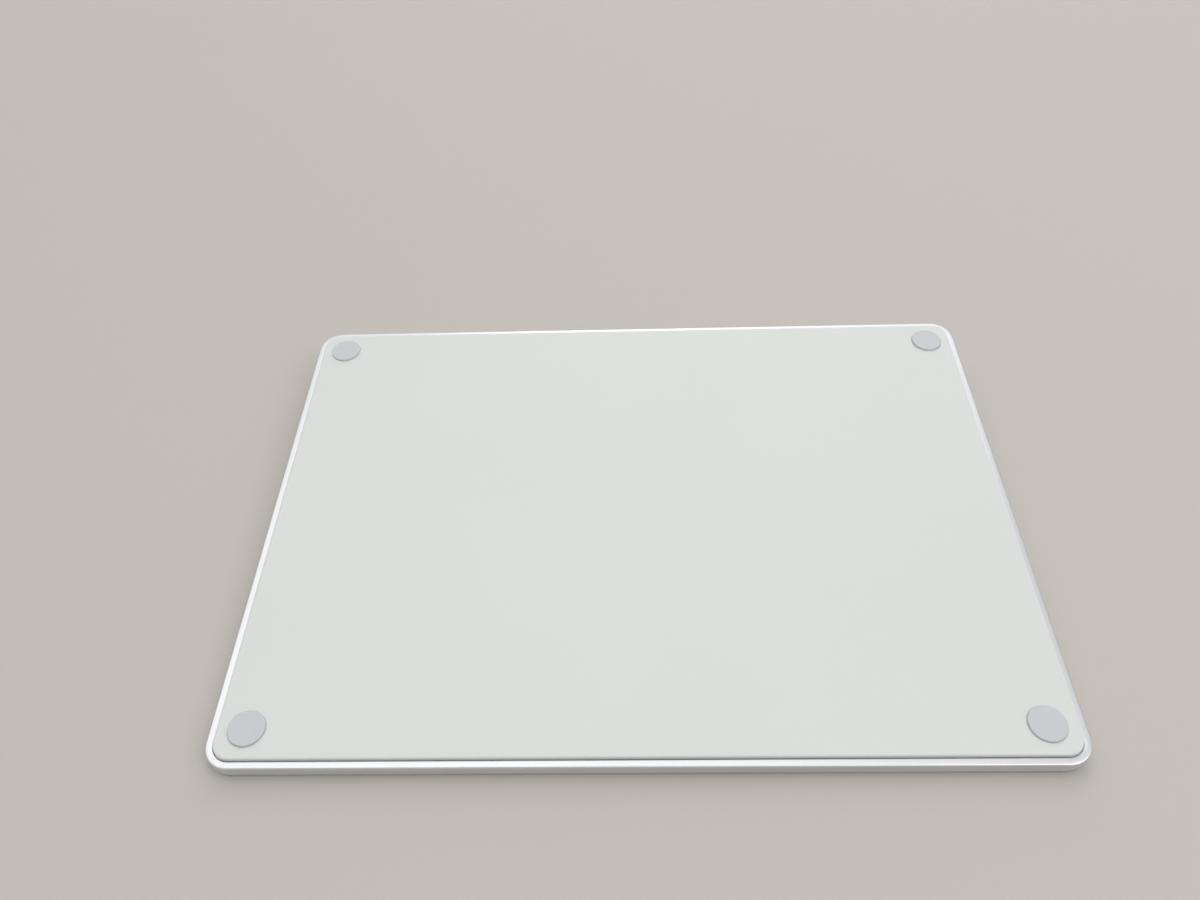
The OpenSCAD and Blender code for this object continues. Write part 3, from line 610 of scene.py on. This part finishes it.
# %% Body: reliefs, holes and window
ARM_ROOT, TAB_X, SPRING_Y, STRIP = 63 * MM, 44 * MM, 49.45 * MM, 0.3 * MM
RELIEF_DEPTH, RELIEF_RADIUS, RELIEF_CORNER = 0.45 * MM, 3.5 * MM, 0.4 * MM
HOLE_RADIUS, ACCESS_RADIUS = 0.85 * MM, 2 * MM
GRIP, SHORT_GRIP = 0.75 * MM, 0.3 * MM
SPRING_SCREW_X = (66 * MM, 72 * MM)
spring_screws = [(side * x, y) for side in (-1, 1) for x in SPRING_SCREW_X for y in (-SPRING_Y, SPRING_Y)]
spring_tabs = [(x, y) for x in (-TAB_X, TAB_X) for y in (-SPRING_Y, SPRING_Y)]
motor_screws = [(x * MM, y * MM) for x in (-8.8, -0.2) for y in (-22.05, 8.25)]

bottom, top = -SEAT - RELIEF_DEPTH, -SEAT + STRIP
for x, y in spring_tabs:
    near, far = sorted((x, math.copysign(ARM_ROOT, x)))
    relief = block("relief", (near, y - RELIEF_RADIUS, bottom), (far, y + RELIEF_RADIUS, top), "Z",
                   RELIEF_CORNER, 4)
    combine(body, tilt(relief))
combine(body, tilt(discs("reliefs", spring_tabs, RELIEF_RADIUS, bottom, top)))
combine(body, tilt(discs("access", spring_tabs, ACCESS_RADIUS, -BEYOND, -SEAT)))
combine(body, tilt(discs("threads", spring_screws, HOLE_RADIUS, -SEAT - GRIP, -SEAT + 0.5 * MM)))
combine(body, discs("threads", logic_screws, HOLE_RADIUS, DECK_TOP - SHORT_GRIP, DECK_TOP + MM))
combine(body, discs("threads", motor_screws, HOLE_RADIUS, DECK_TOP - GRIP, DECK_TOP + MM))
combine(body, block("window", (37.6 * MM, 42.45 * MM, 0), (49.2 * MM, 45.55 * MM, 4 * MM), "Z", 0.3 * MM, 4))
print("body:", len(body.data.polygons), "faces after milling")

# %% [markdown]
# The rear wall has two long holes with round ends: one for the charging port and one that the power slide
# moves in. A block whose edges are rounded by half its height gives that shape. Both mouths get a fine
# chamfer that catches the light, because a bare edge would vanish in the white wall.

# %% Body: holes in the rear wall
PORT_Z, MOUTH_EDGE = 5.33 * MM, 0.15 * MM
PORT_HOLE, SLIDE_HOLE = (0, 9.24 * MM, 3.56 * MM), (-25 * MM, 10.4 * MM, 3 * MM)
for x, length, height in (PORT_HOLE, SLIDE_HOLE):
    hole_low = (x - length / 2, 54 * MM, PORT_Z - height / 2)
    hole_high = (x + length / 2, 60 * MM, PORT_Z + height / 2)
    combine(body, block("long_hole", hole_low, hole_high, "Y", height / 2))


def at_rear_holes(points):
    """True for an edge of the long holes in the outer face of the rear wall."""
    return level("Y", high.y)(points) and all(
        abs(p.z - PORT_Z) < 1.9 * MM and -32 * MM < p.x < 6 * MM for p in points)


soften(body, at_rear_holes, MOUTH_EDGE, 3)
dress(body, "housing", "anodised_aluminium", "housing_frame", blasted_aluminium)

# %% [markdown]
# ## Finish: etched white glass
#
# The touch glass is clear glass with a white coat on its back and an acid-etched face, so that a finger
# glides. Real glass with a coat behind it would need light to pass through both, and from outside it is
# simply white with a broad soft shine, so it is made as a white of glass's IOR. The etch is about 0.02 mm
# and is drawn 0.2 mm wide.

# %% Etched glass
etched_glass, tree, place = blank("etched_white_glass")
etch = add(tree, "TexNoise", {"Vector": place, "Scale": 1 / (0.2 * MM), "Detail": 2.0})
drift = add(tree, "TexNoise", {"Vector": place, "Scale": 1 / (50 * MM), "Detail": 1.0})
tone = two_tone(tree, drift, "#ECEEEF", "#F0F1F2")
rough = add(tree, "MapRange", {"Value": etch, "To Min": 0.26, "To Max": 0.38})
bump = add(tree, "Bump", {"Height": etch, "Distance": 0.0012 * MM, "Strength": 0.4})
surface(tree, {"Base Color": tone, "Roughness": rough, "Normal": bump, "IOR": 1.52})

# %% [markdown]
# The glass's ground edge is smoother and shows a faint green-grey, with streaks about 1.5 mm long from
# the grinding wheel. Its grey is partly the glass's own tint and partly painted shade: it is darker than a
# bare ground edge, as the edge looks in the shadow where it meets the floor.

# %% Ground glass edge: its tint and painted shade
edge_tint_and_shade, tree, place = blank("glass_edge_tint_and_painted_shade")
streaks = add(tree, "TexNoise", {"Vector": place, "Scale": 1 / (1.5 * MM), "Detail": 3.0})
# Painted shade: both greys are darker than the edge's own light tint
tone = two_tone(tree, streaks, "#A3ABA9", "#AFB6B4")
rough = add(tree, "MapRange", {"Value": streaks, "To Min": 0.14, "To Max": 0.26})
surface(tree, {"Base Color": tone, "Roughness": rough, "IOR": 1.52})

# %% [markdown]
# ## The touch glass
#
# A thin plate with round corners and ground edges. Its face and its edge could be two pieces, but the glass
# is one, so its edge faces get the second finish by their own material slot. It is made flat at z = 0 and
# then tilted into its plane.

# %% Touch glass
GLASS_X, GLASS_Y, GLASS = 79.9 * MM, 57.425 * MM, 0.8 * MM
GLASS_CORNER, GLASS_EDGE = 4.9 * MM, 0.2 * MM

glass = block("touch_face", (-GLASS_X, -GLASS_Y, -GLASS), (GLASS_X, GLASS_Y, 0), "Z", GLASS_CORNER)
soften(glass, level("Z", 0), GLASS_EDGE, 5)
soften(glass, level("Z", -GLASS), GLASS_EDGE, 5)
glass.data.materials.append(etched_glass)
glass.data.materials.append(edge_tint_and_shade)
pick(glass, "FACE", lambda points: len(points) == 4)
glass.active_material_index = 1
bpy.ops.object.material_slot_assign()
dress(tilt(glass), "touch_plate", "white_glass", "touch_glass")

# %% [markdown]
# ## Finishes of the port
#
# The port's shell is deep-drawn steel, polished and plated: a bright metal with faint draw lines along its
# length, about 0.15 mm apart. Noise that is squeezed along the shell's length gives such lines. The contacts
# are gold-plated, with a slight even grain from the plating bath.

# %% Drawn steel and gold
drawn_steel, tree, place = blank("drawn_plated_steel")
along = add(tree, "Mapping", {"Vector": place, "Scale": (1, 0.04, 1)})
lines = add(tree, "TexNoise", {"Vector": along, "Scale": 1 / (0.15 * MM), "Detail": 2.0})
tone = two_tone(tree, lines, "#C5C6C8", "#D8D9DA")
rough = add(tree, "MapRange", {"Value": lines, "To Min": 0.18, "To Max": 0.34})
surface(tree, {"Base Color": tone, "Roughness": rough, "Metallic": 1.0})

gilt, tree, place = blank("gold_plating")
grain = add(tree, "TexNoise", {"Vector": place, "Scale": 1 / (0.2 * MM), "Detail": 2.0})
tone = two_tone(tree, grain, "#DDB25A", "#EBC877")
rough = add(tree, "MapRange", {"Value": grain, "To Min": 0.18, "To Max": 0.32})
surface(tree, {"Base Color": tone, "Roughness": rough, "Metallic": 1.0})

# %% [markdown]
# The tongue in the port is black moulded resin. The glass fibre in it shows as a fine speckle, about
# 0.15 mm wide, which noise in a narrow range of dark greys gives.

# %% Moulded resin
moulded_resin, tree, place = blank("black_moulded_resin")
speckle = add(tree, "TexNoise", {"Vector": place, "Scale": 1 / (0.15 * MM), "Detail": 3.0})
tone = two_tone(tree, speckle, "#131416", "#242629")
rough = add(tree, "MapRange", {"Value": speckle, "To Min": 0.42, "To Max": 0.62})
surface(tree, {"Base Color": tone, "Roughness": rough, "IOR": 1.5})

# %% [markdown]
# ## The charging port
#
# The shell is a long tube with round ends, closed at the back. It could be cut with a Boolean, but its wall
# is even, so its mouth face is simply inset by the wall and pushed in. The tongue in its middle has soft
# long edges and rounded front corners.

# %% Port shell and tongue
SHELL_WALL, SHELL_DEPTH, SHELL_EDGE = 0.3 * MM, 6.7 * MM, 0.08 * MM
TONGUE_EDGE, TONGUE_CORNER = 0.12 * MM, 0.5 * MM

low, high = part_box("port_shell")
shell = block("port_sleeve", low, high, "Y", (high.z - low.z) / 2)
pick(shell, "FACE", level("Y", high.y))
bpy.ops.mesh.inset(thickness=SHELL_WALL)
bpy.ops.mesh.extrude_region_move(TRANSFORM_OT_translate={"value": (0, -SHELL_DEPTH, 0)})
soften(shell, level("Y", high.y), SHELL_EDGE, 2)
dress(shell, "housing", "bright_steel", "port_shell", drawn_steel)

low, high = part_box("port_tongue")
tongue = block("port_blade", low, high, "X", TONGUE_EDGE, 3)
soften(tongue, lambda points: level("Y", high.y)(points) and abs(points[0].x - points[1].x) < 1e-7
       and abs(points[0].z - points[1].z) > 0.1 * MM, TONGUE_CORNER, 3)
dress(tongue, "housing", "black_resin", "port_tongue", moulded_resin)

# %% [markdown]
# Twelve contacts lie on each face of the tongue, half a millimetre apart. They could be painted on with a
# wave pattern, but real strips catch the light at their edges. One is modelled and copied.

# %% Port contacts
CONTACTS, PITCH, WIDTH = 12, 0.5 * MM, 0.25 * MM
contact = block("contact", (-WIDTH / 2, high.y - 3.9 * MM, high.z - 0.01 * MM),
                (WIDTH / 2, high.y - 0.5 * MM, high.z + 0.02 * MM), "Z", 0.06 * MM, 3)
contacts = []
for drop in (0, low.z - high.z - 0.01 * MM):
    for row in range(CONTACTS):
        bare(contact)
        bpy.ops.object.duplicate()
        bpy.ops.transform.translate(value=((row - (CONTACTS - 1) / 2) * PITCH, 0, drop))
        bpy.ops.object.transform_apply()
        contacts.append(bpy.context.object)
bpy.data.meshes.remove(contact.data)
dress(joined("port_contacts", contacts), "housing", "gilt_foil", None, gilt)

# %% [markdown]
# ## The power slide
#
# A small aluminium knob with round ends sits in its slot, a little behind the wall's face. Three upright
# ribs give a fingernail something to push. They are added with a Boolean, so that knob and rib are one mesh,
# as they are one piece of metal.

# %% Power slide
low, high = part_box("power_knob")
FACE_Y, FACE_EDGE = 57.2 * MM, 0.15 * MM
RIB_PITCH, RIB_WIDTH, RIB_HEIGHT, RIB_EDGE = 0.9 * MM, 0.4 * MM, 1.4 * MM, 0.08 * MM
knob = block("slide_knob", low, (high.x, FACE_Y, high.z), "Y", (high.z - low.z) / 2)
soften(knob, level("Y", FACE_Y), FACE_EDGE, 3)
middle = (low + high) / 2
for x in (middle.x - RIB_PITCH, middle.x, middle.x + RIB_PITCH):
    rib = block("rib", (x - RIB_WIDTH / 2, FACE_Y - 0.3 * MM, middle.z - RIB_HEIGHT / 2),
                (x + RIB_WIDTH / 2, high.y, middle.z + RIB_HEIGHT / 2), "Y", 0.19 * MM, 6)
    soften(rib, level("Y", high.y), RIB_EDGE, 3)
    combine(knob, rib, "UNION")
dress(knob, "power_switch", "anodised_aluminium", "power_knob", blasted_aluminium)

# %% [markdown]
# ## Finishes inside: sheet steel and screws
#
# Apart from the springs, the inner pieces keep the solids of the construction model, which are right as they
# are, and get finishes of their own. The springs and the stiffener are rolled steel: noise stretched along
# the rolling direction gives its fine lines, 0.25 mm apart. The screws are plated with zinc, which sets in
# small crystals about 0.4 mm wide, and cells of a Voronoi pattern have that look.

# %% Rolled steel and zinc
rolled_steel, tree, place = blank("rolled_spring_steel")
along = add(tree, "Mapping", {"Vector": place, "Scale": (0.03, 1, 1)})
lines = add(tree, "TexNoise", {"Vector": along, "Scale": 1 / (0.25 * MM), "Detail": 3.0})
tone = two_tone(tree, lines, "#9A9DA1", "#B4B7BB")
rough = add(tree, "MapRange", {"Value": lines, "To Min": 0.25, "To Max": 0.45})
surface(tree, {"Base Color": tone, "Roughness": rough, "Metallic": 1.0})

zinc, tree, place = blank("zinc_plated_steel")
crystals = add(tree, "TexVoronoi", {"Vector": place, "Scale": 1 / (0.4 * MM)})
tone = two_tone(tree, crystals, "#9DA0A5", "#838790")
rough = add(tree, "MapRange", {"Value": crystals, "To Min": 0.28, "To Max": 0.48})
surface(tree, {"Base Color": tone, "Roughness": rough, "Metallic": 1.0})

# %% [markdown]
# ## Finishes inside: core and windings
#
# The motor's core is stacked from iron sheets of 0.35 mm that lie flat, with a dark line of varnish between
# them. Its windings are enamelled copper wire of 0.1 mm, drawn 0.25 mm thick so that the turns show. Single
# wires would be thousands of faces, so a wave across each piece gives both: its dark part is the varnish line
# of the core, and painted shade in the gaps between the turns of wire, and a bump rounds the sheet or the
# wire. A wave repeats every pi / 10 of its units, hence the scale.

# %% Iron sheets and copper wire
stacked_iron, tree, place = blank("stacked_iron_sheet")
sheets = add(tree, "TexWave", {"Vector": place, "Scale": math.pi / (10 * 0.35 * MM)}, bands_direction="Z")
tone = two_tone(tree, sheets, "#2C2E31", "#5A5D61")
bump = add(tree, "Bump", {"Height": sheets, "Distance": 0.02 * MM, "Strength": 0.5})
surface(tree, {"Base Color": tone, "Normal": bump, "Roughness": 0.5, "Metallic": 1.0})

wire_and_gap_shade, tree, place = blank("copper_wire_and_painted_gap_shade")
turns_and_gap_shade = add(tree, "TexWave", {"Vector": place, "Scale": math.pi / (10 * 0.25 * MM)}, bands_direction="X")
# Painted shade: the darker copper lies in the gaps between the turns
tone = two_tone(tree, turns_and_gap_shade, "#7A3A18", "#CB7A42")
bump = add(tree, "Bump", {"Height": turns_and_gap_shade, "Distance": 0.08 * MM, "Strength": 0.8})
surface(tree, {"Base Color": tone, "Normal": bump, "Roughness": 0.3, "Metallic": 1.0})

# %% [markdown]
# ## Finishes inside: battery foil and tapes
#
# The cell is wrapped in pressed aluminium foil with a shallow crinkle a few millimetres wide, which noise
# gives as a bump. The tape under it is pale and stretchy, with fibres of about 0.5 mm. The frame that holds
# the cover is dark foam, whose cells are about 0.4 mm and are made as Voronoi cells.

# %% Foil, tape and foam
pouch_foil, tree, place = blank("laminated_pouch_foil")
crinkle = add(tree, "TexNoise", {"Vector": place, "Scale": 1 / (4 * MM), "Detail": 4.0})
tone = two_tone(tree, crinkle, "#8B8E94", "#A3A6AB")
rough = add(tree, "MapRange", {"Value": crinkle, "To Min": 0.3, "To Max": 0.5})
bump = add(tree, "Bump", {"Height": crinkle, "Distance": 0.1 * MM, "Strength": 0.5})
surface(tree, {"Base Color": tone, "Roughness": rough, "Normal": bump, "Metallic": 1.0})

pale_tape, tree, place = blank("pale_stretch_tape")
fibres = add(tree, "TexNoise", {"Vector": place, "Scale": 1 / (0.5 * MM), "Detail": 3.0})
tone = two_tone(tree, fibres, "#D9CFA8", "#E6DEC0")
rough = add(tree, "MapRange", {"Value": fibres, "To Min": 0.5, "To Max": 0.7})
surface(tree, {"Base Color": tone, "Roughness": rough, "IOR": 1.47})

dark_foam, tree, place = blank("dark_foam_tape")
cells = add(tree, "TexVoronoi", {"Vector": place, "Scale": 1 / (0.4 * MM)})
tone = two_tone(tree, cells, "#2E2F32", "#1B1C1E")
bump = add(tree, "Bump", {"Height": cells, "Distance": 0.05 * MM, "Strength": 0.6})
surface(tree, {"Base Color": tone, "Normal": bump, "Roughness": 0.9, "IOR": 1.4})

# %% [markdown]
# ## Finishes inside: boards, cables and connectors
#
# The boards are covered with green solder mask, and the copper under it shows as paler tracks that turn at
# right angles. Voronoi distances measured along the axes make squares inside squares, and folding them to
# and fro every 0.6 mm makes the tracks. The cables are amber film with copper tracks 0.5 mm apart, and the
# connectors have a ridge for each of those, so both take the same wave.

# %% Solder mask, amber film and nylon
solder_mask, tree, place = blank("green_solder_mask")
squares = add(tree, "TexVoronoi", {"Vector": place, "Scale": 1 / (2.5 * MM)}, distance="CHEBYCHEV")
folds = add(tree, "Math", {0: squares, 1: 0.6 / 2.5}, operation="PINGPONG")
tracks = add(tree, "MapRange", {"Value": folds, "From Min": 0.10, "From Max": 0.14})
tone = two_tone(tree, tracks, "#0F4A30", "#1C6A48")
bump = add(tree, "Bump", {"Height": tracks, "Distance": 0.02 * MM, "Strength": 0.5})
surface(tree, {"Base Color": tone, "Normal": bump, "Roughness": 0.34, "IOR": 1.5})

amber_film, tree, place = blank("amber_polyimide_film")
tracks = add(tree, "TexWave", {"Vector": place, "Scale": math.pi / (10 * 0.5 * MM)}, bands_direction="X")
tone = two_tone(tree, tracks, "#B56A1C", "#D08A36")
surface(tree, {"Base Color": tone, "Roughness": 0.32, "IOR": 1.7})

ridged_nylon, tree, place = blank("dark_connector_nylon")
ridges = add(tree, "TexWave", {"Vector": place, "Scale": math.pi / (10 * 0.5 * MM)}, bands_direction="X")
tone = two_tone(tree, ridges, "#2A2A2D", "#45454A")
bump = add(tree, "Bump", {"Height": ridges, "Distance": 0.05 * MM, "Strength": 0.6})
surface(tree, {"Base Color": tone, "Normal": bump, "Roughness": 0.5, "IOR": 1.53})

# %% [markdown]
# ## Finishes inside: antenna and mark
#
# The antenna's carrier is ivory resin, and the mark that shows when the slide is on is plain green plastic.
# Both are moulded, and moulded plastic flows: its tone and shine vary softly over about a millimetre.

# %% Antenna resin and green inlay
antenna_resin, tree, place = blank("ivory_antenna_resin")
flow = add(tree, "TexNoise", {"Vector": place, "Scale": 1 / (1.2 * MM), "Detail": 3.0})
tone = two_tone(tree, flow, "#E3DCC8", "#ECE6D6")
rough = add(tree, "MapRange", {"Value": flow, "To Min": 0.42, "To Max": 0.58})
surface(tree, {"Base Color": tone, "Roughness": rough, "IOR": 1.54})

green_inlay, tree, place = blank("green_inlay_plastic")
flow = add(tree, "TexNoise", {"Vector": place, "Scale": 1 / (0.8 * MM), "Detail": 2.0})
tone = two_tone(tree, flow, "#34A853", "#3FB85F")
rough = add(tree, "MapRange", {"Value": flow, "To Min": 0.42, "To Max": 0.58})
surface(tree, {"Base Color": tone, "Roughness": rough, "IOR": 1.5})

# %% [markdown]
# ## The springs
#
# Four flat strips of spring steel carry the touch plate. Each has a base that is screwed to the body, a
# narrow arm and a round tab under the plate, and a film gauge under the arm feels how far it bends. The
# solids of the construction model are stiff, and in a press the plate's spacers would sink into the tabs. So
# the strips are modelled again. A piece can bend over one joint only, so each strip is split near its base,
# and the arm and its gauge are cut across every two millimetres so that they can curve. The pieces are left
# in place and tied to no body; nothing here makes them bend.

# %% Helpers for springs
ARM_SPLIT, ARM_END, FILM = 60 * MM, 47 * MM, 0.1 * MM
BASE_END, BASE_WIDTH, ARM_WIDTH, TAB_RADIUS = 75 * MM, 6 * MM, 3 * MM, 3 * MM
FILM_ENDS, FILM_WIDTH = (52.5 * MM, 57.5 * MM), 2 * MM


def flat_block(name, side, ends, y, width, radius=0.02 * MM, bottom=-SEAT, height=STRIP):
    """A flat block on one side of the middle, between two distances from it."""
    near, far = sorted(side * end for end in ends)
    return block(name, (near, y - width / 2, bottom), (far, y + width / 2, bottom + height), "Z", radius, 6)


def bendable(piece, side):
    """Cuts a flat piece across its arm every two millimetres and tilts it into the slope."""
    for cut in range(48, 60, 2):
        pick(piece, "FACE", lambda points: True)
        bpy.ops.mesh.bisect(plane_co=(side * cut * MM, 0, 0), plane_no=(1, 0, 0), threshold=1e-7)
    return tilt(piece)


# %% Springs
for corner in FEET:
    side = 1 if corner.endswith("right") else -1
    y = SPRING_Y if corner.startswith("rear") else -SPRING_Y
    root, split, end = [(side * x, 0, 0) for x in (ARM_ROOT, ARM_SPLIT, ARM_END)]

    base = flat_block("spring_base_" + corner, side, (ARM_ROOT, BASE_END), y, BASE_WIDTH, MM)
    combine(base, flat_block("stub", side, (ARM_SPLIT, 69 * MM), y, ARM_WIDTH), "UNION")
    holes = [(side * x, y) for x in SPRING_SCREW_X]
    combine(base, discs("holes", holes, HOLE_RADIUS, -SEAT - MM, 0))
    dress(tilt(base), "housing", "spring_steel", "flexure_" + corner, rolled_steel,
          bend=("suspension", root, split))

    arm = flat_block("spring_arm_" + corner, side, (TAB_X, ARM_SPLIT), y, ARM_WIDTH)
    combine(arm, discs("tab", [(side * TAB_X, y)], TAB_RADIUS, -SEAT, -SEAT + STRIP), "UNION")
    combine(arm, discs("hole", [(side * TAB_X, y)], HOLE_RADIUS, -SEAT - MM, 0))
    dress(bendable(arm, side), "suspension", "spring_steel", "flexure_" + corner, rolled_steel,
          bend=("touch_plate", split, end))

    film = flat_block("gauge_film_" + corner, side, FILM_ENDS, y, FILM_WIDTH, 0.1 * MM, -SEAT - FILM, FILM)
    dress(bendable(film, side), "suspension", "amber_flex", "strain_gauges", amber_film,
          bend=("touch_plate", split, end))

# %% [markdown]
# ## Dressing the inner pieces
#
# Each inner node could be given its finish by name. The record already says which material slot a node
# belongs to, so the finishes are listed by slot, and nodes and slots can't disagree.

# %% Inner pieces
slot_finishes = {
    "bright_steel": drawn_steel, "spring_steel": rolled_steel, "screw_steel": zinc,
    "core_iron": stacked_iron, "copper_wire": wire_and_gap_shade, "battery_foil": pouch_foil,
    "circuit_board": solder_mask, "amber_flex": amber_film, "black_resin": moulded_resin,
    "dark_connector": ridged_nylon, "dark_adhesive": dark_foam, "pale_adhesive": pale_tape,
    "ivory_plastic": antenna_resin, "gilt_foil": gilt, "green_plastic": green_inlay,
}
dressed = 0
for subpart in frame["record"]["subparts"]:
    node = nodes[subpart["node"]]
    if subpart["material_slot"] in slot_finishes:
        node.data.materials.clear()
        node.data.materials.append(slot_finishes[subpart["material_slot"]])
        dressed += 1
print("inner pieces dressed:", dressed)
